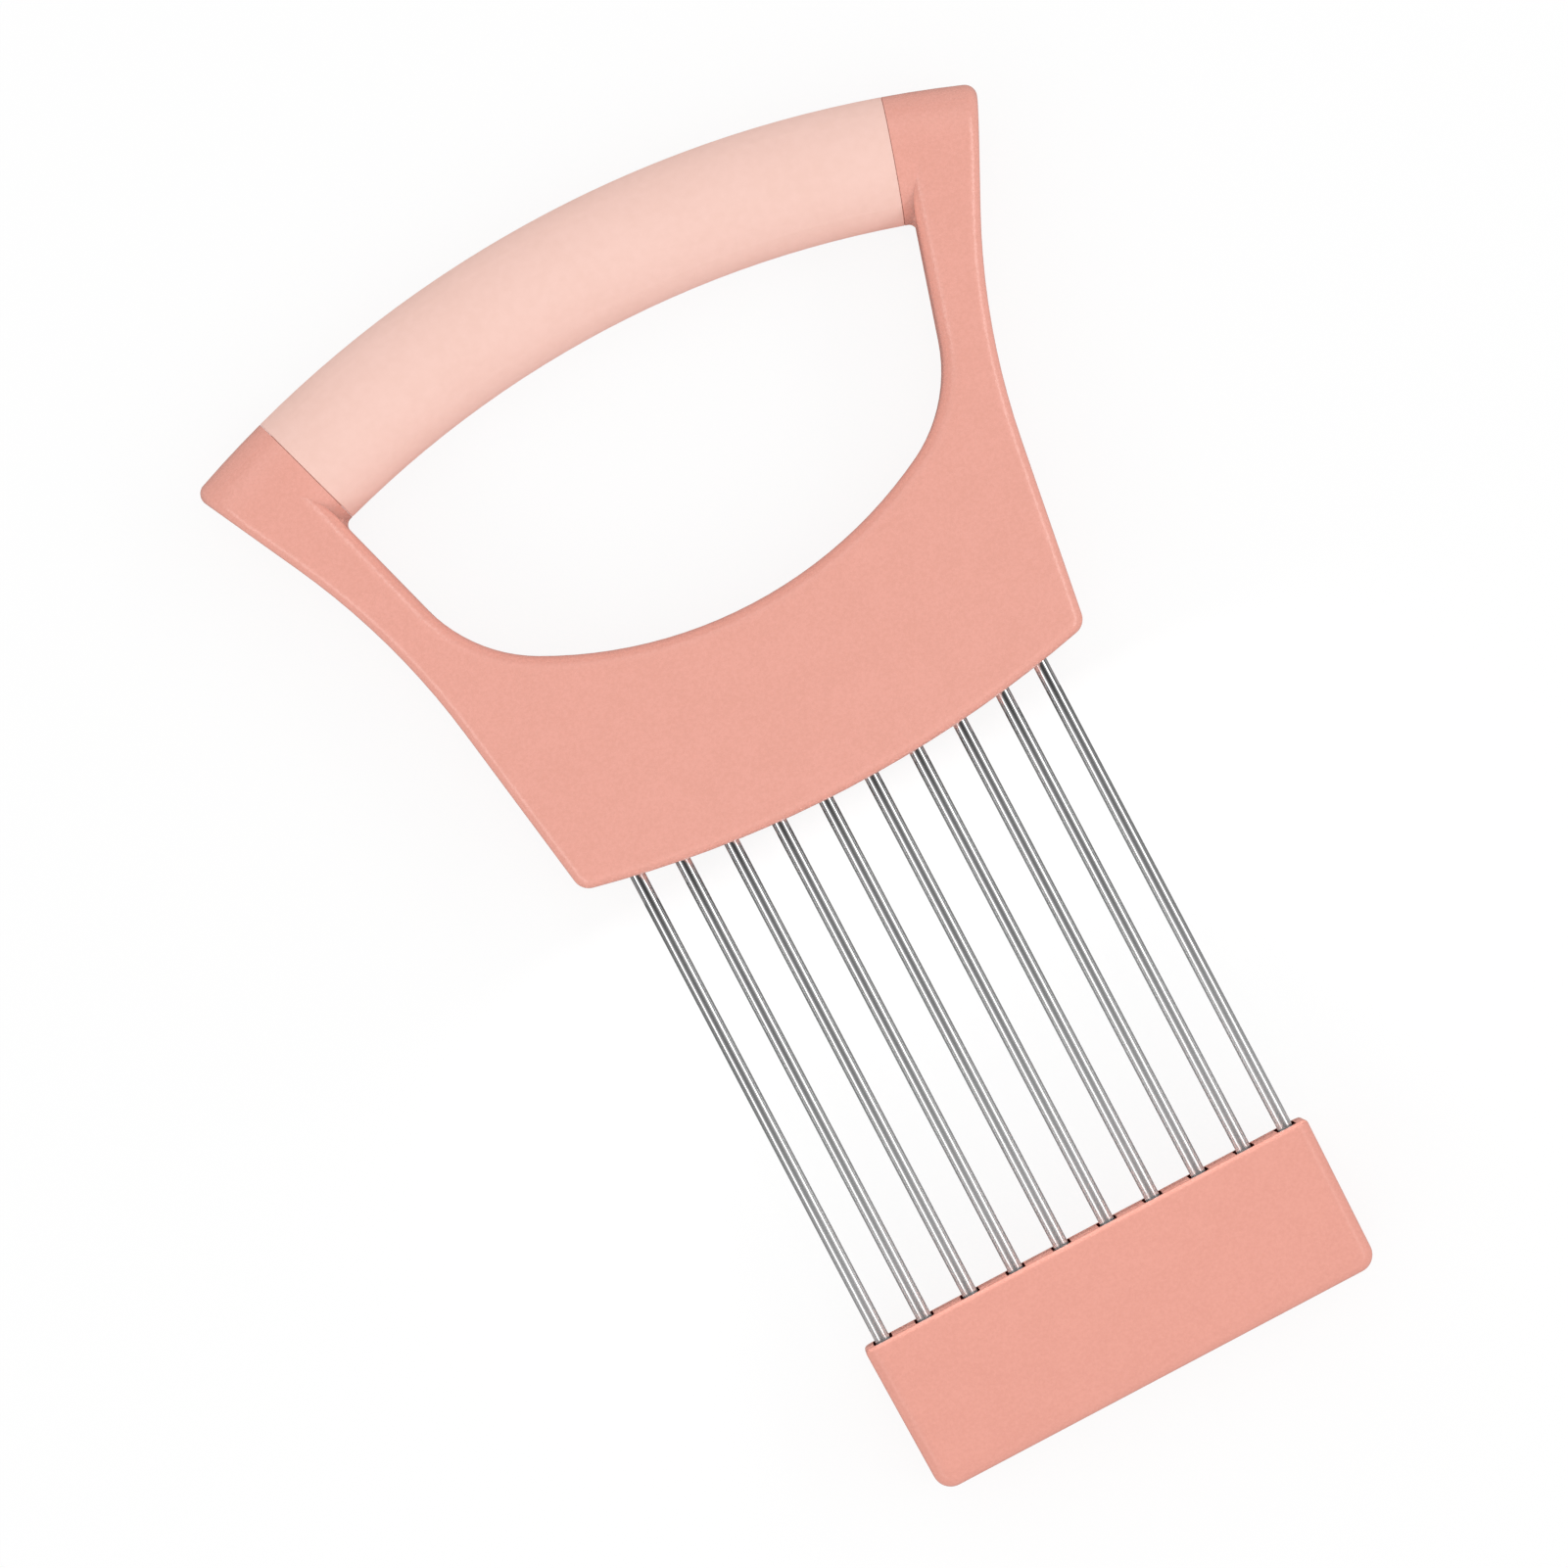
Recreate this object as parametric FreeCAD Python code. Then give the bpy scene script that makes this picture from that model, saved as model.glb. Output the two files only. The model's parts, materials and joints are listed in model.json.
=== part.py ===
# Slicing holder: ten steel tines in a loop handle, with a cover that pulls off the points.
# Millimetres. It is drawn with y = 0 at the middle of the block's lower edge, y toward the
# grip, x across and z = 0 on the parting plane, then moved so that the origin is the
# bottom centre of the whole part lying on its back.
import FreeCAD, Part
import math
import os

V = FreeCAD.Vector
Z_AXIS = V(0, 0, 1)

# Tines
TINE_COUNT = 10
TINE_DIAMETER = 2.0
TINE_PITCH = 6.6            # between neighbours
TINE_END_PITCH = 6.0        # between the last two on each side
TINE_REACH = 64.4           # bare length between the block and the cover
TINE_TIP_LENGTH = 5.0
TINE_TIP_DIAMETER = 0.4
TINE_ROOT_CHAMFER = 0.25

# Handle outline
THICKNESS = 14.0            # handle and cover alike, so that the part lies flat
BLOCK_HEIGHT = 26.55        # lower edge to the floor of the hand opening, at the middle
BLOCK_SIDE_MARGIN = 7.2     # outer tine to the lower corner
BLOCK_EDGE_RADIUS = 155.0   # bow of the lower edge
OPENING_HEIGHT = 39.8       # floor of the hand opening to the underside of the grip
OPENING_WIDTH = 82.6        # just below the grip
OPENING_SIDE_ANGLE = 16.5   # lean of the arms' inner sides
OPENING_FLOOR_RADIUS = 58.0
OPENING_CORNER_RADIUS = 20.0
ARM_KNEE_HEIGHT = 43.9      # where the outer sides flare out
ARM_KNEE_WIDTH = 5.85
ARM_KNEE_RADIUS = 96.0
KNEE_SHARE = 0.7            # most of a side that the knee's arc may take
ARM_TOP_WIDTH = 10.8        # at the middle of the grip bar
INNER_EDGE_ROUND = 2.5
OUTER_EDGE_ROUND = 1.6
BLOCK_CORNER_RADIUS = 1.4 * OUTER_EDGE_ROUND

# Grip bar
GRIP_ARC_RADIUS = 143.0     # bow of the bar's centre line
GRIP_OVALITY = 2.7          # how much taller than thick the bar is
GRIP_END_EASE = 0.6         # how far the oval's end arcs tighten, as a share of half the ovality
ARM_CORNER_ROUND = 1.1      # corner between the underside of the bar and the arm
ARM_CORNER_RISE = 0.8       # how far up the bar's end arc that rounding runs, as a share
PAD_END_LAND = 0.3          # bare bar between the pad and that corner
PAD_THICKNESS = 2.0
PAD_EDGE_ROUND = 0.15

# Inside the handle
WALL = 2.2
RIB = 1.6
CARRIER_HEIGHT = 9.0
CARRIER_RISE = 8.7          # lower edge of the block to the carrier
CARRIER_END_MARGIN = 3.4    # outer tine to the carrier's end
CARRIER_CAP = 1.0           # left above the roots of the tines
CORE_CHANNEL_WIDTH = 5.0
CORE_CHANNEL_DEPTH = 2.8
PEG_SPACING = 48.0          # between the two pegs in the block
PEG_DIAMETER = 3.0
PEG_LENGTH = 3.6
BOSS_DIAMETER = 5.5
CORNER_PEG_INSET = 5.2      # top corner pegs, in from the outer side along the bar

# Tip cover
COVER_HEIGHT = 20.65
COVER_SIDE_MARGIN = 2.7     # outer tine to the cover's side, at the mouth
COVER_DRAFT = 1.1           # lean of the sides, degrees
COVER_EDGE_ROUND = 2.0
COVER_CORNER_RADIUS = 1.2 * COVER_EDGE_ROUND
COVER_LIP_ROUND = 0.6
COVER_FLOOR = 3.2           # plastic left under the sockets
LEAD_IN_WIDTH = 2.7
LEAD_IN_WALL = 1.2          # plastic left at each end of the slot-shaped lead-ins
LEAD_IN_DEPTH = 5.0

# Clearances
TINE_FIT = 0.01             # tine in the carrier, held tight
TINE_PASSAGE = 0.1          # tine through the block's lower wall
SOCKET_FIT = 0.08           # tine in the cover's socket, slides
TIP_GAP = 0.6               # below the points, in the sockets
CARRIER_FIT = 0.05          # carrier between ribs and walls
PEG_FIT = 0.05
PAD_FIT = 0.02              # pad on its seat
PAD_END_GAP = 0.04          # groove at each end of the pad

# Worked out from the sizes above
HALF_THICKNESS = THICKNESS / 2
GRIP_HEIGHT = THICKNESS + GRIP_OVALITY
GRIP_END_ARC = HALF_THICKNESS - GRIP_END_EASE * GRIP_OVALITY / 2
GRIP_MIDDLE = BLOCK_HEIGHT + OPENING_HEIGHT + GRIP_HEIGHT / 2
GRIP_CENTRE = V(0, GRIP_MIDDLE - GRIP_ARC_RADIUS, 0)
GRIP_UNDERSIDE_RADIUS = GRIP_ARC_RADIUS - GRIP_HEIGHT / 2
TINE_RADIUS = TINE_DIAMETER / 2
COVER_MOUTH = -TINE_REACH
COVER_BOTTOM = COVER_MOUTH - COVER_HEIGHT
SOCKET_BOTTOM = COVER_BOTTOM + COVER_FLOOR
LEAD_IN_LENGTH = THICKNESS - 2 * LEAD_IN_WALL
TINE_TIP = SOCKET_BOTTOM + TIP_GAP
CARRIER_TOP = CARRIER_RISE + CARRIER_HEIGHT
TINE_ROOT = CARRIER_TOP - CARRIER_CAP
HALF_CAVITY = HALF_THICKNESS - WALL

# For the drawing
FAR = 400.0                 # longer than the whole part
OVERLAP = 1.0               # by which one solid runs into another that it joins or cuts
OVERLAP_ANGLE = 1.0         # the same along the grip, degrees
NEAR = 1e-4                 # closer than this is touching


def tine_positions():
    half = [TINE_PITCH * (k + 0.5) for k in range(TINE_COUNT // 2)]
    half[-1] = half[-2] + TINE_END_PITCH
    return [-x for x in reversed(half)] + half


TINE_X = tine_positions()
OUTER_TINE_X = TINE_X[-1]


def turned(vector, degrees):
    return FreeCAD.Rotation(Z_AXIS, degrees).multVec(vector)


def unit(vector):
    return V(vector).normalize()


def line_on_circle(point, direction, centre, radius):
    """Where a line leaves a circle, going along its direction."""
    along = (centre - point).dot(direction)
    half_chord = math.sqrt(radius ** 2 - (point + direction * along - centre).Length ** 2)
    return point + direction * (along + half_chord)


def lines_meet(point_a, direction_a, point_b, direction_b):
    cross = direction_a.x * direction_b.y - direction_a.y * direction_b.x
    gap = point_b - point_a
    return point_a + direction_a * ((gap.x * direction_b.y - gap.y * direction_b.x) / cross)


def arc_edge(centre, start, end):
    """The shorter arc about a centre."""
    middle = unit((start - centre) + (end - centre)) * (start - centre).Length
    return Part.Arc(start, centre + middle, end).toShape()


def line_edge(start, end):
    return Part.LineSegment(start, end).toShape()


def mirrored(shapes):
    return [shape.mirror(V(0, 0, 0), V(1, 0, 0)) for shape in shapes]


def grip_point(degrees, radius=GRIP_ARC_RADIUS):
    """Point on the bow of the grip, at an angle from the middle."""
    return GRIP_CENTRE + turned(V(0, radius, 0), -degrees)


# Handle outline, right half

INNER_DIRECTION = turned(V(0, 1, 0), -OPENING_SIDE_ANGLE)
INNER_CORNER_ANGLE = math.degrees(math.asin(OPENING_WIDTH / 2 / GRIP_UNDERSIDE_RADIUS))
INNER_CORNER = grip_point(INNER_CORNER_ANGLE, GRIP_UNDERSIDE_RADIUS)
INNER_TOP = line_on_circle(INNER_CORNER, INNER_DIRECTION, GRIP_CENTRE, GRIP_ARC_RADIUS)
FLOOR_CENTRE = V(0, BLOCK_HEIGHT + OPENING_FLOOR_RADIUS, 0)
PAD_SETBACK = ARM_CORNER_ROUND + PAD_END_LAND
PAD_SEAT_ANGLE = INNER_CORNER_ANGLE - math.degrees(PAD_SETBACK / GRIP_UNDERSIDE_RADIUS)
PAD_HALF_ANGLE = PAD_SEAT_ANGLE - math.degrees(PAD_END_GAP / GRIP_ARC_RADIUS)


def outer_side():
    """Lower corner, knee and top of the outer side, as sharp corners."""
    edge_centre = V(0, BLOCK_EDGE_RADIUS, 0)
    half_width = OUTER_TINE_X + BLOCK_SIDE_MARGIN
    foot = line_on_circle(V(half_width, 0, 0), V(0, -1, 0), edge_centre, BLOCK_EDGE_RADIUS)
    knee = lines_meet(V(0, ARM_KNEE_HEIGHT, 0), V(1, 0, 0), INNER_CORNER, INNER_DIRECTION)
    knee = knee + V(ARM_KNEE_WIDTH, 0, 0)
    flare = unit(INNER_TOP + V(ARM_TOP_WIDTH, 0, 0) - knee)
    top = line_on_circle(knee, flare, GRIP_CENTRE, GRIP_ARC_RADIUS)
    return foot, knee, top


SIDE_FOOT, SIDE_KNEE, SIDE_TOP = outer_side()
FLARE_DIRECTION = unit(SIDE_TOP - SIDE_KNEE)


def outer_edges():
    """Lower edge, rounded corner and flared side."""
    rise = unit(SIDE_KNEE - SIDE_FOOT)
    inward = turned(rise, 90)
    edge_centre = V(0, BLOCK_EDGE_RADIUS, 0)
    corner_centre = line_on_circle(SIDE_FOOT + inward * BLOCK_CORNER_RADIUS, rise * -1, edge_centre,
                                   BLOCK_EDGE_RADIUS - BLOCK_CORNER_RADIUS)
    corner_low = edge_centre + unit(corner_centre - edge_centre) * BLOCK_EDGE_RADIUS
    corner_high = corner_centre - inward * BLOCK_CORNER_RADIUS
    half_turn = math.tan(rise.getAngle(FLARE_DIRECTION) / 2)
    shorter_side = min((SIDE_KNEE - SIDE_FOOT).Length, (SIDE_TOP - SIDE_KNEE).Length)
    tangent = min(ARM_KNEE_RADIUS * half_turn, KNEE_SHARE * shorter_side)
    knee_low = SIDE_KNEE - rise * tangent
    knee_high = SIDE_KNEE + FLARE_DIRECTION * tangent
    knee_centre = knee_low - inward * (tangent / half_turn)
    return [
        arc_edge(edge_centre, V(0, 0, 0), corner_low),
        arc_edge(corner_centre, corner_low, corner_high),
        line_edge(corner_high, knee_low),
        arc_edge(knee_centre, knee_low, knee_high),
        line_edge(knee_high, SIDE_TOP),
    ]


def inner_edges():
    """Arm's inner side, corner and floor of the hand opening."""
    into_opening = turned(INNER_DIRECTION, 90)
    corner_centre = line_on_circle(INNER_CORNER + into_opening * OPENING_CORNER_RADIUS, INNER_DIRECTION * -1,
                                   FLOOR_CENTRE, OPENING_FLOOR_RADIUS - OPENING_CORNER_RADIUS)
    side_end = corner_centre - into_opening * OPENING_CORNER_RADIUS
    floor_end = FLOOR_CENTRE + unit(corner_centre - FLOOR_CENTRE) * OPENING_FLOOR_RADIUS
    return [
        line_edge(INNER_TOP, side_end),
        arc_edge(corner_centre, side_end, floor_end),
        arc_edge(FLOOR_CENTRE, floor_end, V(0, BLOCK_HEIGHT, 0)),
    ]


def plate_outline():
    half = outer_edges() + [arc_edge(GRIP_CENTRE, SIDE_TOP, INNER_TOP)] + inner_edges()
    return Part.Wire(Part.__sortEdges__(half + mirrored(half)))


def extruded(wire, low, high):
    face = Part.Face(wire)
    face.translate(V(0, 0, low))
    return face.extrude(V(0, 0, high - low))


def edges_over(solid, flat_edges):
    """Edges of the front face that lie above edges drawn on the parting plane."""
    centres = [edge.CenterOfMass for edge in flat_edges]
    found = []
    for edge in solid.Edges:
        middle = edge.CenterOfMass
        on_face = abs(middle.z - HALF_THICKNESS) < NEAR
        if on_face and any(math.hypot(middle.x - c.x, middle.y - c.y) < NEAR for c in centres):
            found.append(edge)
    return found


def half_space(side):
    """Everything in front of (side 1) or behind (side -1) the parting plane."""
    box = Part.makeBox(2 * FAR, 2 * FAR, FAR, V(-FAR, -FAR, 0))
    return box if side > 0 else box.mirror(V(0, 0, 0), Z_AXIS)


def block_and_arms():
    """Front half, with the edge round the hand opening rounded."""
    plate = extruded(plate_outline(), 0, HALF_THICKNESS)
    edges = inner_edges()
    return plate.makeFillet(INNER_EDGE_ROUND, edges_over(plate, edges + mirrored(edges)))


# Grip bar

def oval_section(shrink):
    """Oval of four tangent arcs across the bar, drawn at the middle of the grip."""
    half_height = GRIP_HEIGHT / 2 - shrink
    half_depth = HALF_THICKNESS - shrink
    end_arc = GRIP_END_ARC - shrink
    end_centre = half_height - end_arc
    spare = half_depth - end_arc
    drop = (end_centre ** 2 - spare ** 2) / (2 * spare)
    crest_arc = half_depth + drop
    reach = math.hypot(end_centre, drop)
    touch_y = end_centre / reach * crest_arc
    touch_z = drop / reach * crest_arc - drop

    def at(y, z):
        return V(0, GRIP_MIDDLE + y, z)

    corners = [(1, 1), (-1, 1), (-1, -1), (1, -1)]
    middles = [(0, half_depth), (-half_height, 0), (0, -half_depth), (half_height, 0)]
    edges = []
    for k, middle in enumerate(middles):
        start = corners[k]
        end = corners[(k + 1) % 4]
        edges.append(Part.Arc(at(start[0] * touch_y, start[1] * touch_z), at(*middle),
                              at(end[0] * touch_y, end[1] * touch_z)).toShape())
    return Part.Face(Part.Wire(edges))


def swept_along_grip(face, half_angle):
    start = face.copy()
    start.rotate(GRIP_CENTRE, Z_AXIS, -half_angle)
    return start.revolve(GRIP_CENTRE, Z_AXIS, 2 * half_angle)


def wedge(half_angle):
    """Sector about the grip's centre."""
    reach = FAR / math.cos(math.radians(half_angle))
    corners = [GRIP_CENTRE, grip_point(half_angle, reach), grip_point(-half_angle, reach), GRIP_CENTRE]
    return extruded(Part.makePolygon(corners), -FAR, FAR)


def between_outer_sides():
    low = lines_meet(SIDE_KNEE, FLARE_DIRECTION, V(0, 0, 0), V(1, 0, 0))
    high = lines_meet(SIDE_KNEE, FLARE_DIRECTION, V(0, FAR, 0), V(1, 0, 0))
    corners = [low, high, V(-high.x, high.y, 0), V(-low.x, low.y, 0), low]
    return extruded(Part.makePolygon(corners), -FAR, FAR)


def end_edges(solid):
    """Edges round the flat end faces."""
    return [edge for face in solid.Faces if isinstance(face.Surface, Part.Plane) for edge in face.Edges]


def grip_angle(point):
    """Angle of a point from the middle of the grip, without its sign."""
    return math.degrees(math.atan2(abs(point.x), point.y - GRIP_CENTRE.y))


def grip_radius(point):
    return math.hypot(point.x, point.y - GRIP_CENTRE.y)


def corner_section(share):
    """Rounded corner between the bar and the arm, some way up the bar's end arc."""
    height = share * ARM_CORNER_RISE * GRIP_END_ARC
    drop = GRIP_END_ARC - math.sqrt(GRIP_END_ARC ** 2 - height ** 2)
    sink = ARM_CORNER_ROUND * share ** 2
    underside = GRIP_UNDERSIDE_RADIUS + drop + sink
    into_opening = turned(INNER_DIRECTION, 90)
    centre = line_on_circle(INNER_CORNER + into_opening * ARM_CORNER_ROUND, INNER_DIRECTION,
                            GRIP_CENTRE, underside - ARM_CORNER_ROUND)
    across_bar = unit(centre - GRIP_CENTRE)
    on_bar = GRIP_CENTRE + across_bar * underside
    on_arm = centre - into_opening * ARM_CORNER_ROUND
    in_bar = on_bar + across_bar * (ARM_CORNER_ROUND + OVERLAP)
    in_arm = on_arm - into_opening * OVERLAP
    deep = in_arm + (in_bar - on_bar)
    edges = [arc_edge(centre, on_bar, on_arm), line_edge(on_arm, in_arm), line_edge(in_arm, deep),
             line_edge(deep, in_bar), line_edge(in_bar, on_bar)]
    return Part.Wire(edges).translated(V(0, 0, height))


def corner_web():
    """Rounds the corner under the bar, right side, and sinks into the bar as it rises."""
    return Part.makeLoft([corner_section(share) for share in (0, 0.5, 1)], True, True)


def outer_rim_edges(solid):
    """Edges round the outside, over the ends of the bar as well."""
    edges = outer_edges()
    found = edges_over(solid, edges + mirrored(edges))
    across = turned(FLARE_DIRECTION, -90)
    for edge in solid.Edges:
        middle = edge.CenterOfMass
        points = [V(abs(point.x), point.y, 0) for point in edge.discretize(3)]
        on_side = all(abs((point - SIDE_KNEE).dot(across)) < NEAR for point in points)
        if on_side and middle.z > NEAR and grip_radius(middle) > GRIP_ARC_RADIUS:
            found.append(edge)
    return found


def handle_front_half():
    """Outside of the front half; the rear half is its mirror image."""
    past_sides = grip_angle(SIDE_TOP + FLARE_DIRECTION * GRIP_HEIGHT) + OVERLAP_ANGLE
    bar = swept_along_grip(oval_section(0), past_sides).common(between_outer_sides())
    bar_ends = bar.cut(wedge(PAD_SEAT_ANGLE)).common(half_space(1))
    core = swept_along_grip(oval_section(PAD_THICKNESS), PAD_SEAT_ANGLE + OVERLAP_ANGLE).common(half_space(1))
    webs = [corner_web()] + mirrored([corner_web()])
    half = block_and_arms().fuse([bar_ends, core] + webs).removeSplitter()
    return half.makeFillet(OUTER_EDGE_ROUND, outer_rim_edges(half)).Solids[0]


# Shells

def rod(x, y_from, y_to, radius):
    return Part.makeCylinder(radius, y_to - y_from, V(x, y_from, 0), V(0, 1, 0))


def cavity():
    inset = Part.Face(plate_outline()).makeOffset2D(-WALL)
    solid = inset.extrude(V(0, 0, 2 * HALF_CAVITY))
    solid.translate(V(0, 0, -HALF_CAVITY))
    return solid


def carrier_ribs():
    """Cross ribs above and below the carrier."""
    ribs = []
    for low in (CARRIER_TOP + CARRIER_FIT, CARRIER_RISE - CARRIER_FIT - RIB):
        ribs.append(Part.makeBox(2 * FAR, RIB, 2 * HALF_CAVITY, V(-FAR, low, -HALF_CAVITY)))
    return ribs


def core_channel():
    """Hollow along the middle of the bar."""
    low = GRIP_MIDDLE - CORE_CHANNEL_WIDTH / 2
    section = Part.makePlane(CORE_CHANNEL_WIDTH, 2 * CORE_CHANNEL_DEPTH, V(0, low, -CORE_CHANNEL_DEPTH),
                             V(1, 0, 0), V(0, 1, 0))
    return swept_along_grip(section, PAD_SEAT_ANGLE - OVERLAP_ANGLE)


def peg_places():
    """Two in the block below the opening, two in the top corners."""
    x = PEG_SPACING / 2
    floor = FLOOR_CENTRE.y - math.sqrt(OPENING_FLOOR_RADIUS ** 2 - x ** 2)
    corner = grip_point(grip_angle(SIDE_TOP) - math.degrees(CORNER_PEG_INSET / GRIP_ARC_RADIUS))
    block = V(x, floor - WALL - BOSS_DIAMETER / 2, 0)
    return [block, V(-block.x, block.y, 0), corner, V(-corner.x, corner.y, 0)]


def peg(place, fit):
    """Peg of the rear shell, or with a fit, the hole for it in the front shell."""
    return Part.makeCylinder(PEG_DIAMETER / 2 + fit, PEG_LENGTH + fit + OVERLAP, place - V(0, 0, OVERLAP))


def handle_shell(front_half, hollow, side):
    shell = front_half if side > 0 else front_half.mirror(V(0, 0, 0), Z_AXIS)
    ribs = [rib.common(hollow) for rib in carrier_ribs()]
    bosses = [Part.makeCylinder(BOSS_DIAMETER / 2, 2 * HALF_CAVITY, place - V(0, 0, HALF_CAVITY))
              for place in peg_places()[:2]]
    room = hollow.cut(ribs + bosses)
    passages = [rod(x, -OVERLAP, CARRIER_RISE, TINE_RADIUS + TINE_PASSAGE) for x in TINE_X]
    shell = shell.cut([room, core_channel()] + passages)
    if side > 0:
        return shell.cut([peg(place, PEG_FIT) for place in peg_places()])
    return shell.fuse([peg(place, 0) for place in peg_places()]).removeSplitter()


# Grip pads

def grip_pad(side):
    skin = swept_along_grip(oval_section(0), PAD_HALF_ANGLE)
    skin = skin.makeFillet(PAD_EDGE_ROUND, end_edges(skin))
    seat = swept_along_grip(oval_section(PAD_THICKNESS - PAD_FIT), PAD_SEAT_ANGLE)
    return skin.cut(seat).common(half_space(side))


# Tines and their carrier

def tine(x):
    profile = [(0, TINE_TIP), (TINE_TIP_DIAMETER / 2, TINE_TIP), (TINE_RADIUS, TINE_TIP + TINE_TIP_LENGTH),
               (TINE_RADIUS, TINE_ROOT - TINE_ROOT_CHAMFER), (TINE_RADIUS - TINE_ROOT_CHAMFER, TINE_ROOT),
               (0, TINE_ROOT), (0, TINE_TIP)]
    face = Part.Face(Part.makePolygon([V(r, y, 0) for r, y in profile]))
    body = face.revolve(V(0, 0, 0), V(0, 1, 0), 360)
    body.translate(V(x, 0, 0))
    return body


def tine_carrier():
    half_length = OUTER_TINE_X + CARRIER_END_MARGIN
    half_depth = HALF_CAVITY - CARRIER_FIT
    bar = Part.makeBox(2 * half_length, CARRIER_HEIGHT, 2 * half_depth, V(-half_length, CARRIER_RISE, -half_depth))
    return bar.cut([rod(x, CARRIER_RISE - OVERLAP, TINE_ROOT, TINE_RADIUS + TINE_FIT) for x in TINE_X])


# Tip cover

def cover_block():
    top = OUTER_TINE_X + COVER_SIDE_MARGIN
    bottom = top - COVER_HEIGHT * math.tan(math.radians(COVER_DRAFT))
    corners = [V(-top, COVER_MOUTH, 0), V(top, COVER_MOUTH, 0), V(bottom, COVER_BOTTOM, 0),
               V(-bottom, COVER_BOTTOM, 0), V(-top, COVER_MOUTH, 0)]
    block = extruded(Part.makePolygon(corners), -HALF_THICKNESS, HALF_THICKNESS)
    below_mouth = [edge for edge in block.Edges if edge.BoundBox.YMin < COVER_MOUTH - OVERLAP]
    block = block.makeFillet(COVER_CORNER_RADIUS, [edge for edge in below_mouth if edge.BoundBox.ZLength > NEAR])
    below_mouth = [edge for edge in block.Edges if edge.BoundBox.YMin < COVER_MOUTH - OVERLAP]
    block = block.makeFillet(COVER_EDGE_ROUND, [edge for edge in below_mouth if edge.BoundBox.ZLength < NEAR])
    mouth = [face for face in block.Faces if face.CenterOfMass.y > COVER_MOUTH - NEAR]
    return block.makeFillet(COVER_LIP_ROUND, mouth[0].Edges)


def socket(x):
    """Slot-shaped lead-in with a round bore below it."""
    half_flat = (LEAD_IN_LENGTH - LEAD_IN_WIDTH) / 2
    low = COVER_MOUTH - LEAD_IN_DEPTH
    high = COVER_MOUTH + OVERLAP
    slot = Part.makeBox(LEAD_IN_WIDTH, high - low, 2 * half_flat, V(x - LEAD_IN_WIDTH / 2, low, -half_flat))
    end = rod(x, low, high, LEAD_IN_WIDTH / 2)
    ends = [end.translated(V(0, 0, z)) for z in (-half_flat, half_flat)]
    bore = rod(x, SOCKET_BOTTOM, COVER_MOUTH, TINE_RADIUS + SOCKET_FIT)
    return slot.fuse(ends + [bore])


def tip_cover():
    return cover_block().cut([socket(x) for x in TINE_X])


# The pieces, moved to the frame of the whole part

def pieces():
    front_half = handle_front_half()
    hollow = cavity()
    found = {
        "handle_front_shell": handle_shell(front_half, hollow, 1),
        "handle_rear_shell": handle_shell(front_half, hollow, -1),
        "grip_pad_front": grip_pad(1),
        "grip_pad_rear": grip_pad(-1),
        "tine_carrier": tine_carrier(),
        "tip_cover": tip_cover(),
    }
    for number, x in enumerate(TINE_X, 1):
        found["tine_%02d" % number] = tine(x)
    return found


GRIP_TOP = GRIP_MIDDLE + GRIP_HEIGHT / 2
TO_FRAME = V(0, -(GRIP_TOP + COVER_BOTTOM) / 2, HALF_THICKNESS)

os.makedirs("parts", exist_ok=True)
for name, shape in pieces().items():
    shape.translate(TO_FRAME)
    print(name, shape.isValid(), len(shape.Solids), round(shape.Volume, 1))
    shape.exportStep("parts/" + name + ".step")
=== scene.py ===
# Looks for the slicing holder: grained plastic handle and cover, soft grip, polished tines.
# Metres. At rest every node sits at the origin, so textures lie in the frame of the whole part.
import json
import math

import bpy
from mathutils import Matrix, Vector


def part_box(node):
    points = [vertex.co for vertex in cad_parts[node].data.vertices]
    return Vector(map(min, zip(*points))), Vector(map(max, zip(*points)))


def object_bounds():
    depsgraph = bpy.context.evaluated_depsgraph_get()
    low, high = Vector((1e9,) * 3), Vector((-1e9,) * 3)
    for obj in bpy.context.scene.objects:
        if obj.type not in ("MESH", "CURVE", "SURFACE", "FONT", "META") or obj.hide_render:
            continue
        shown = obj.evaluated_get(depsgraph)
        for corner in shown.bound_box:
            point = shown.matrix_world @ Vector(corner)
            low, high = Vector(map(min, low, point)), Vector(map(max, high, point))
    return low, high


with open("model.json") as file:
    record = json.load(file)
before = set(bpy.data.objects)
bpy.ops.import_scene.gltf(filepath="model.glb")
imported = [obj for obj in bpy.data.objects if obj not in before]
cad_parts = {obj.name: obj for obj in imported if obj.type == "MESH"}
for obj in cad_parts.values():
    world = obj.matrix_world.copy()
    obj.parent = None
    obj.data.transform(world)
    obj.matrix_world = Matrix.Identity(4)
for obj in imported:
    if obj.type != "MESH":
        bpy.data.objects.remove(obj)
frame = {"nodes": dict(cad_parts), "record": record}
cad_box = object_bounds()

PARTING_PLANE = (cad_box[0][2] + cad_box[1][2]) / 2
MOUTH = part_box("tip_cover")[1].y
BLOCK_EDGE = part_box("handle_front_shell")[0].y

# Hairline where the two halves of the handle meet
SEAM_CORE = 0.00004         # half width of its dark middle
SEAM_FADE = 0.00016         # distance at which it has faded out
SEAM_SHADE = 0.72

# Places along the tines, which go from polished at the block to satin at the cover
TINE_POLISHED = 0.005
TINE_SATIN = -0.065

NOISE_SPAN = (0.3, 0.7)     # most of a noise texture's values lie in it
POCKET_RAYS = 8
WHITE = (1, 1, 1, 1)


# Node helpers

def srgb(r, g, b):
    """Linear colour of an sRGB triple from 0 to 255."""
    def one(v):
        v = v / 255
        return v / 12.92 if v <= 0.04045 else ((v + 0.055) / 1.055) ** 2.4
    return (one(r), one(g), one(b), 1.0)


def grey(level):
    return srgb(level, level, level)


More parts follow.
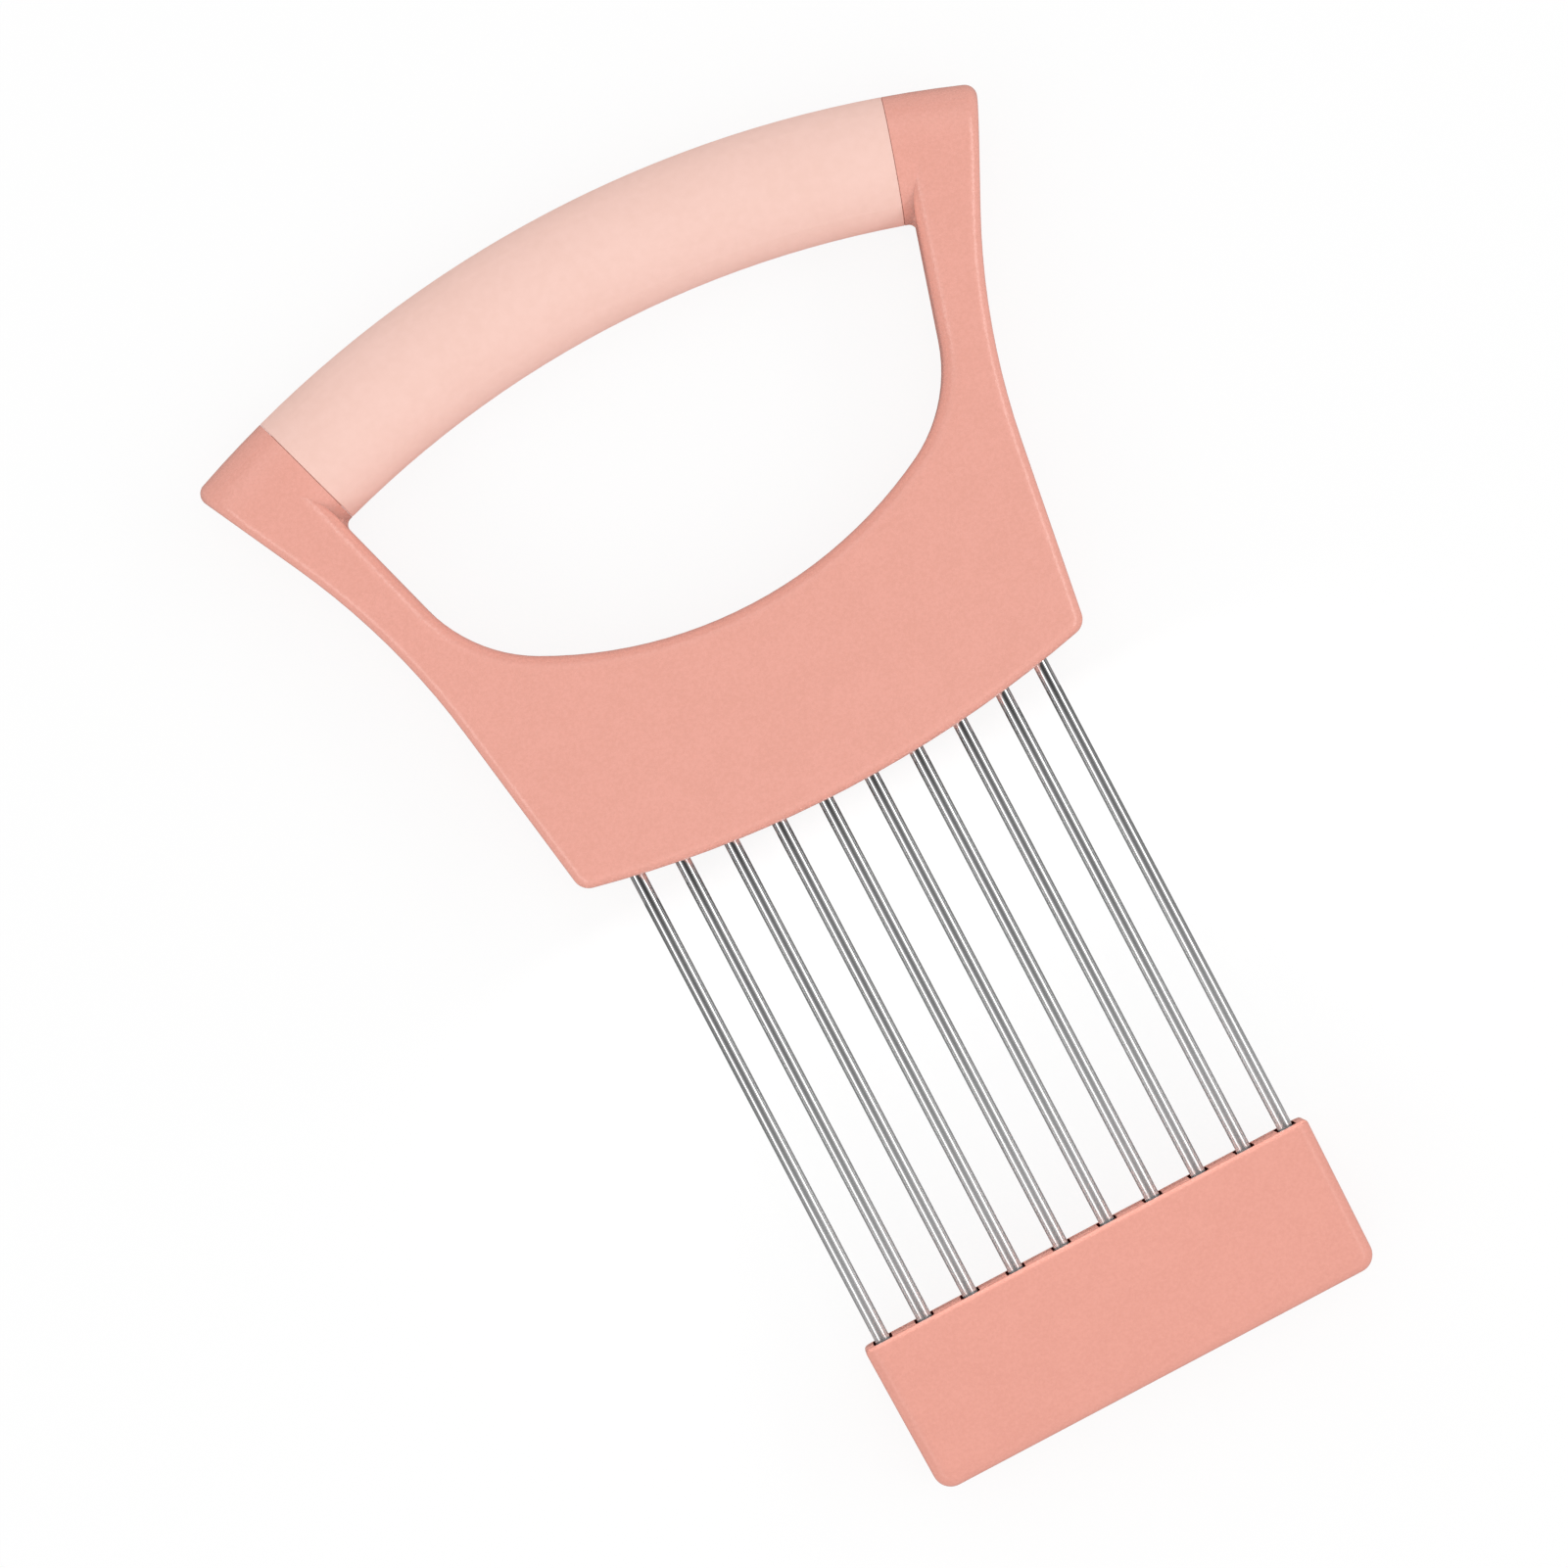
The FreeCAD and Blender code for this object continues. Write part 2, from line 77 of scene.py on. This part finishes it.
def fill_ramp(node, stops):
    elements = node.color_ramp.elements
    while len(elements) < len(stops):
        elements.new(0.5)
    for element, (position, colour) in zip(elements, stops):
        element.position = position
        element.color = colour


def first_of(tree, kind):
    return next(node for node in tree.nodes if node.type == kind)


class Shader:
    """A material's node tree with short calls for the nodes that are used here."""

    def __init__(self, name):
        self.material = bpy.data.materials.new(name)
        self.material.use_nodes = True
        self.tree = self.material.node_tree
        self.bsdf = first_of(self.tree, "BSDF_PRINCIPLED")
        self.place = self.node("ShaderNodeTexCoord").outputs["Object"]

    def node(self, kind, **settings):
        node = self.tree.nodes.new(kind)
        for key, value in settings.items():
            setattr(node, key, value)
        return node

    def link(self, output, socket):
        self.tree.links.new(output, socket)

    def noise(self, scale, detail=2.0, roughness=0.5, stretch=None):
        texture = self.node("ShaderNodeTexNoise")
        texture.inputs["Scale"].default_value = scale
        texture.inputs["Detail"].default_value = detail
        texture.inputs["Roughness"].default_value = roughness
        source = self.place
        if stretch:
            mapping = self.node("ShaderNodeMapping")
            mapping.inputs["Scale"].default_value = stretch
            self.link(self.place, mapping.inputs["Vector"])
            source = mapping.outputs["Vector"]
        self.link(source, texture.inputs["Vector"])
        return texture.outputs["Fac"]

    def cells(self, scale):
        texture = self.node("ShaderNodeTexVoronoi", feature="SMOOTH_F1")
        texture.inputs["Scale"].default_value = scale
        self.link(self.place, texture.inputs["Vector"])
        return texture.outputs["Distance"]

    def math(self, operation, a, b):
        node = self.node("ShaderNodeMath", operation=operation)
        for value, socket in ((a, node.inputs[0]), (b, node.inputs[1])):
            if isinstance(value, (int, float)):
                socket.default_value = value
            else:
                self.link(value, socket)
        return node.outputs[0]

    def mottle(self, fine, coarse, fine_share):
        """Noise of two scales added up."""
        fine_part = self.math("MULTIPLY", self.noise(fine), fine_share)
        coarse_part = self.math("MULTIPLY", self.noise(coarse), 1 - fine_share)
        return self.math("ADD", fine_part, coarse_part)

    def ramp(self, factor, stops):
        node = self.node("ShaderNodeValToRGB")
        fill_ramp(node, stops)
        self.link(factor, node.inputs["Fac"])
        return node.outputs["Color"]

    def greys(self, scale, dark, light):
        """Noise between two sRGB greys."""
        low, high = NOISE_SPAN
        return self.ramp(self.noise(scale), [(low, grey(dark)), (high, grey(light))])

    def fit(self, value, low, high, to_low, to_high):
        node = self.node("ShaderNodeMapRange")
        keys = ("From Min", "From Max", "To Min", "To Max")
        for key, number in zip(keys, (low, high, to_low, to_high)):
            node.inputs[key].default_value = number
        self.link(value, node.inputs["Value"])
        return node.outputs["Result"]

    def vary(self, scale, low, high):
        """A value that wanders between low and high over the surface."""
        return self.fit(self.noise(scale), *NOISE_SPAN, low, high)

    def axis(self, letter):
        node = self.node("ShaderNodeSeparateXYZ")
        self.link(self.place, node.inputs["Vector"])
        return node.outputs[letter]

    def seam(self, colour):
        """Darkens a hairline where the front and rear halves meet."""
        height = self.math("SUBTRACT", self.axis("Z"), PARTING_PLANE)
        off_seam = self.math("ABSOLUTE", height, 0)
        shade = self.fit(off_seam, SEAM_CORE, SEAM_FADE, SEAM_SHADE, 1.0)
        node = self.node("ShaderNodeVectorMath", operation="SCALE")
        self.link(colour, node.inputs["Vector"])
        self.link(shade, node.inputs["Scale"])
        return node.outputs["Vector"]

    def paint_pocket_shade(self, colour, reach, deepest, closed, clear):
        """Paints shade into the colour of a piece's own narrow gaps and inner corners, where light reaches
        them less.
        """
        # painted shade: ambient occlusion darkens the base colour in the piece's own gaps and corners
        node = self.node("ShaderNodeAmbientOcclusion", samples=POCKET_RAYS, only_local=True)
        node.inputs["Distance"].default_value = reach
        shade = self.ramp(node.outputs["AO"], [(closed, deepest), (clear, WHITE)])
        product = self.node("ShaderNodeVectorMath", operation="MULTIPLY")
        self.link(colour, product.inputs[0])
        self.link(shade, product.inputs[1])
        return product.outputs["Vector"]

    def bump(self, height, strength, distance, below=None):
        node = self.node("ShaderNodeBump")
        node.inputs["Strength"].default_value = strength
        node.inputs["Distance"].default_value = distance
        self.link(height, node.inputs["Height"])
        if below is not None:
            self.link(below, node.inputs["Normal"])
        return node.outputs["Normal"]

    def set(self, **sockets):
        for key, value in sockets.items():
            socket = self.bsdf.inputs[key.replace("_", " ")]
            if isinstance(value, (int, float, tuple)):
                socket.default_value = value
            else:
                self.link(value, socket)
        return self.material


# Materials

def moulded_plastic(name, dark, light, grain, gloss):
    """Satin plastic with a fine leather-like grain; returns it with its mottled colour."""
    s = Shader(name)
    speckle = s.mottle(fine=2400, coarse=240, fine_share=0.75)
    colour = s.ramp(speckle, [(0.38, dark), (0.62, light)])
    pebbles = s.bump(s.cells(2200), strength=grain, distance=0.00015)
    fine = s.bump(s.noise(4200), strength=0.6 * grain, distance=0.00008, below=pebbles)
    s.set(Roughness=s.vary(1500, 0.23, 0.30), Normal=fine, Specular_IOR_Level=gloss)
    return s, colour


def handle_plastic():
    """Shells with a hairline between the halves and painted shade in the inner corners under the grip."""
    dark = srgb(243, 171, 154)
    light = srgb(249, 176, 160)
    s, colour = moulded_plastic("handle_plastic", dark, light, grain=0.25, gloss=0.8)
    painted_corner_shade = (0.74, 0.92, 0.97, 1)
    # painted shade: ambient occlusion darkens the shells' inner corners and gaps
    colour = s.paint_pocket_shade(s.seam(colour), reach=0.006, deepest=painted_corner_shade, closed=0.5, clear=0.92)
    return s.set(Base_Color=colour)


def cover_plastic():
    """Smoother and less shiny than the handle, with painted deep shade in its sockets."""
    dark = srgb(236, 164, 148)
    light = srgb(241, 169, 153)
    s, colour = moulded_plastic("cover_plastic", dark, light, grain=0.12, gloss=0.3)
    socket_shade = (0.05, 0.01, 0.01, 1)
    # painted shade: ambient occlusion darkens the tine sockets to a deep red-black
    colour = s.paint_pocket_shade(colour, reach=0.014, deepest=socket_shade, closed=0.70, clear=0.95)
    return s.set(Base_Color=colour)


def soft_grip():
    """Matt soft-touch plastic with a very fine powdery skin."""
    s = Shader("soft_grip")
    cloud = s.mottle(fine=900, coarse=120, fine_share=0.6)
    colour = s.ramp(cloud, [(0.35, srgb(250, 208, 195)), (0.65, srgb(253, 212, 200))])
    skin = s.bump(s.noise(3600, detail=3.0, roughness=0.7), strength=0.3, distance=0.00006)
    s.set(Base_Color=s.seam(colour), Normal=skin)
    return s.set(Roughness=s.vary(900, 0.62, 0.74), Specular_IOR_Level=0.25)


def tine_steel():
    """Polished rod with drawing lines along it, going over to a satin finish toward the points."""
    s = Shader("tine_steel")
    along = s.fit(s.axis("Y"), TINE_SATIN, TINE_POLISHED, 0.0, 1.0)
    lines = s.noise(3000, detail=3.0, roughness=0.6, stretch=(1.0, 0.02, 1.0))
    polish = s.fit(along, 0.0, 1.0, 0.20, 0.08)
    rough = s.math("ADD", polish, s.fit(lines, *NOISE_SPAN, -0.01, 0.02))
    colour = s.ramp(along, [(0.0, grey(246)), (1.0, srgb(240, 240, 241))])
    metal = s.ramp(along, [(0.0, (0.66, 0.66, 0.66, 1)), (0.55, (0.9, 0.9, 0.9, 1)), (1.0, WHITE)])
    drawn = s.bump(lines, strength=0.015, distance=0.00002)
    return s.set(Base_Color=colour, Metallic=metal, Roughness=rough, Normal=drawn)


def carrier_plastic():
    """Plain pale plastic inside the handle."""
    s = Shader("carrier_plastic")
    colour = s.ramp(s.noise(220), [(0.35, srgb(222, 221, 218)), (0.65, srgb(232, 231, 228))])
    skin = s.bump(s.noise(2500), strength=0.15, distance=0.00005)
    return s.set(Base_Color=colour, Roughness=s.vary(900, 0.5, 0.6), Normal=skin)


MATERIALS = {
    "handle_plastic": handle_plastic(),
    "cover_plastic": cover_plastic(),
    "soft_grip": soft_grip(),
    "tine_steel": tine_steel(),
    "carrier_plastic": carrier_plastic(),
}

for piece in frame["record"]["subparts"]:
    slots = frame["nodes"][piece["node"]].data.materials
    slots.clear()
    slots.append(MATERIALS[piece["material_slot"]])


# Floor, light and camera

def plane(name, size, height, material):
    bpy.ops.mesh.primitive_plane_add(size=size, location=(0, 0, height))
    sheet = bpy.context.object
    sheet.name = name
    sheet.data.materials.append(material)
    return sheet


def paper(name, scale, dark, light):
    """Matt paper in two close greys."""
    s = Shader(name)
    s.set(Base_Color=s.greys(scale, dark, light), Roughness=0.9, Specular_IOR_Level=0.1)
    return s


def floor_paper(glow):
    """White paper that stays nearly white in the picture and in reflections, with a soft shadow."""
    s = paper("floor_paper", scale=3, dark=252, light=254)
    bounce = s.node("ShaderNodeBsdfDiffuse")
    s.link(s.greys(scale=3, dark=222, light=226), bounce.inputs["Color"])
    white = s.node("ShaderNodeEmission")
    lit = s.node("ShaderNodeMixShader")
    lit.inputs["Fac"].default_value = glow
    s.link(s.bsdf.outputs["BSDF"], lit.inputs[1])
    s.link(white.outputs["Emission"], lit.inputs[2])
    path = s.node("ShaderNodeLightPath")
    seen = s.math("MAXIMUM", path.outputs["Is Camera Ray"], path.outputs["Is Glossy Ray"])
    seen = s.math("MAXIMUM", seen, path.outputs["Is Transmission Ray"])
    mix = s.node("ShaderNodeMixShader")
    s.link(seen, mix.inputs["Fac"])
    s.link(bounce.outputs["BSDF"], mix.inputs[1])
    s.link(lit.outputs["Shader"], mix.inputs[2])
    s.link(mix.outputs["Shader"], first_of(s.tree, "OUTPUT_MATERIAL").inputs["Surface"])
    return s.material


def flag(name, half_width, low, high, height, tone):
    """Card on the floor that only reflections see, as studio flags give bright metal its dark edges."""
    sheet = paper(name, scale=40, dark=tone, light=tone + 8)
    card = plane(name, 1, height, sheet.material)
    card.location.y = (low + high) / 2
    card.scale = (2 * half_width, high - low, 1)
    card.visible_camera = False
    card.visible_diffuse = False
    card.visible_transmission = False
    card.visible_shadow = False


def sky(strength, levels):
    """Even white dome that looks darker at some heights in reflections."""
    world = bpy.data.worlds.new("dome")
    bpy.context.scene.world = world
    world.use_nodes = True
    tree = world.node_tree
    background = first_of(tree, "BACKGROUND")
    background.inputs["Color"].default_value = WHITE
    background.inputs["Strength"].default_value = strength
    reflected = tree.nodes.new("ShaderNodeBackground")
    place = tree.nodes.new("ShaderNodeTexCoord")
    split = tree.nodes.new("ShaderNodeSeparateXYZ")
    ramp = tree.nodes.new("ShaderNodeValToRGB")
    fill_ramp(ramp, [(height, (level, level, level, 1)) for height, level in levels])
    path = tree.nodes.new("ShaderNodeLightPath")
    mix = tree.nodes.new("ShaderNodeMixShader")
    link = tree.links.new
    link(place.outputs["Generated"], split.inputs["Vector"])
    link(split.outputs["Z"], ramp.inputs["Fac"])
    link(ramp.outputs["Color"], reflected.inputs["Color"])
    link(path.outputs["Is Glossy Ray"], mix.inputs["Fac"])
    link(background.outputs["Background"], mix.inputs[1])
    link(reflected.outputs["Background"], mix.inputs[2])
    link(mix.outputs["Shader"], first_of(tree, "OUTPUT_WORLD").inputs["Surface"])


def strip_light(name, place, target, length, width, power):
    """Long level soft box."""
    lamp = bpy.data.lights.new(name, "AREA")
    lamp.shape = "RECTANGLE"
    lamp.size = length
    lamp.size_y = width
    lamp.energy = power
    holder = bpy.data.objects.new(name, lamp)
    bpy.context.collection.objects.link(holder)
    holder.location = place
    holder.rotation_euler = (Vector(target) - Vector(place)).to_track_quat("-Z", "Y").to_euler()
    return holder


def mouth_fill(height, length, width, power):
    """Small lamp over the bare tines that lights the cover's mouth and shows nowhere itself."""
    fill = strip_light("fill", (0, BLOCK_EDGE, height), (0, MOUTH, height), length, width, power)
    fill.visible_camera = False
    fill.visible_glossy = False


def camera(over, view_width, angle, turn, lean):
    """Looks down on a point of the parting plane, leaning over from the left side of the part."""
    lens = bpy.data.cameras.new("camera")
    lens.sensor_fit = "HORIZONTAL"
    lens.angle = math.radians(angle)
    lens.clip_start = 0.01
    eye = bpy.data.objects.new("camera", lens)
    bpy.context.collection.objects.link(eye)
    away = view_width / 2 / math.tan(math.radians(angle) / 2)
    tilt = Matrix.Rotation(math.radians(-lean), 4, "Y") @ Matrix.Rotation(math.radians(turn), 4, "Z")
    target = Vector((over[0], over[1], PARTING_PLANE))
    eye.matrix_world = Matrix.Translation(target + tilt @ Vector((0, 0, away))) @ tilt
    bpy.context.scene.camera = eye


CARD_GAP = 0.001            # between the dark card and the plastic at its ends
MIDDLE = (0, 0, 0)

# Place between the horizon (0) and overhead (1), and how bright reflections see the dome there
DOME_LEVELS = [(0.0, 0.04), (0.20, 0.04), (0.34, 0.45), (0.74, 0.50), (0.96, 0.06), (1.0, 0.05)]

plane("floor", size=8, height=-0.0002, material=floor_paper(glow=0.88))
flag("grey_flag", half_width=0.45, low=-0.45, high=0.45, height=-0.00015, tone=140)
flag("dark_flag", half_width=0.10, low=MOUTH + CARD_GAP, high=BLOCK_EDGE - CARD_GAP, height=-0.0001, tone=84)
sky(strength=0.78, levels=DOME_LEVELS)
strip_light("right", (1.0, -0.25, 0.8), MIDDLE, length=1.9, width=0.32, power=4.2)
strip_light("left", (-1.0, -0.25, 0.8), MIDDLE, length=1.9, width=0.32, power=3.1)
strip_light("back", (0.0, 1.1, 0.7), MIDDLE, length=0.8, width=0.15, power=0.3)
mouth_fill(height=0.018, length=0.075, width=0.010, power=0.032)
camera(over=(-0.0071, 0.0053), view_width=0.2006, angle=9.0, turn=-27.83, lean=0.6)
bpy.context.scene.view_settings.view_transform = "Standard"
